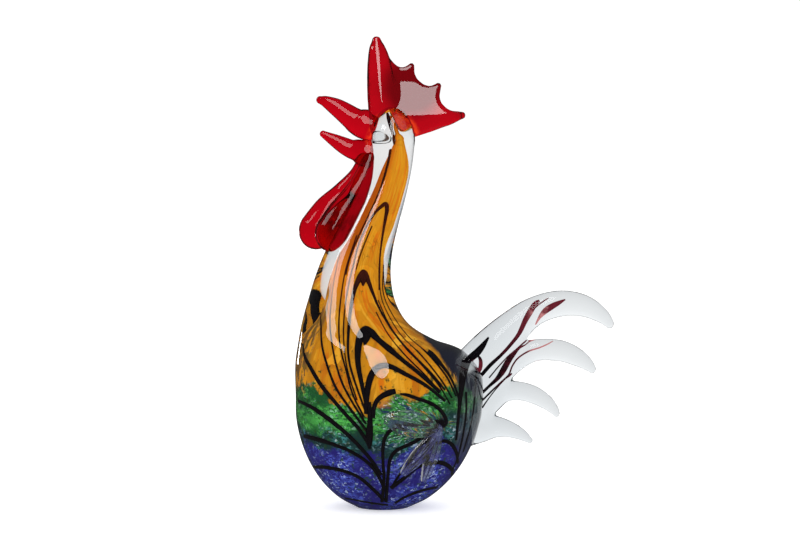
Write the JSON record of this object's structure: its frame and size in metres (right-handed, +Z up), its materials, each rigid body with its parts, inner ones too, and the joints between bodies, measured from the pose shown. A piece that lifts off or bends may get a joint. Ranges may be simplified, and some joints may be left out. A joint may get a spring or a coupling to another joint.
{
  "type": "glass rooster sculpture",
  "caption": "Standing rooster in solid clear glass with a combed amber, green and blue core, red comb, beaks and wattles, and a clear feathered tail.",
  "frame": {"origin": "middle of the ground flat foot, on the surface that the bird stands on", "axes": "+Z up, the bird looks along -X with its tail towards +X, and its left side faces -Y"},
  "size_m": [0.1971, 0.1076, 0.2898],
  "materials": {
    "clear_glass": "fire-polished clear glass",
    "amber_glass": "streaked amber glass under clear glass",
    "green_glass": "speckled green glass under clear glass",
    "blue_glass": "speckled cobalt glass under clear glass",
    "black_glass": "opaque black glass thread",
    "red_glass": "fire-polished transparent red glass",
    "purple_glass": "drawn dark purple glass thread"
  },
  "bodies": {
    "root": {"clear_casing": "clear_glass", "heart_gather": "clear_glass", "amber_layer": "amber_glass", "green_layer": "green_glass", "blue_layer": "blue_glass", "combed_trail": "black_glass", "comb": "red_glass", "upper_beak": "red_glass", "lower_beak": "red_glass", "left_wattle": "red_glass", "right_wattle": "red_glass", "left_eye": "clear_glass", "right_eye": "clear_glass", "left_wing": "clear_glass", "right_wing": "clear_glass", "tail": "clear_glass", "tail_thread_1": "purple_glass", "tail_thread_2": "purple_glass", "tail_thread_3": "purple_glass", "tail_thread_4": "purple_glass", "tail_thread_5": "purple_glass", "tail_thread_6": "purple_glass"}
  },
  "joints": []
}
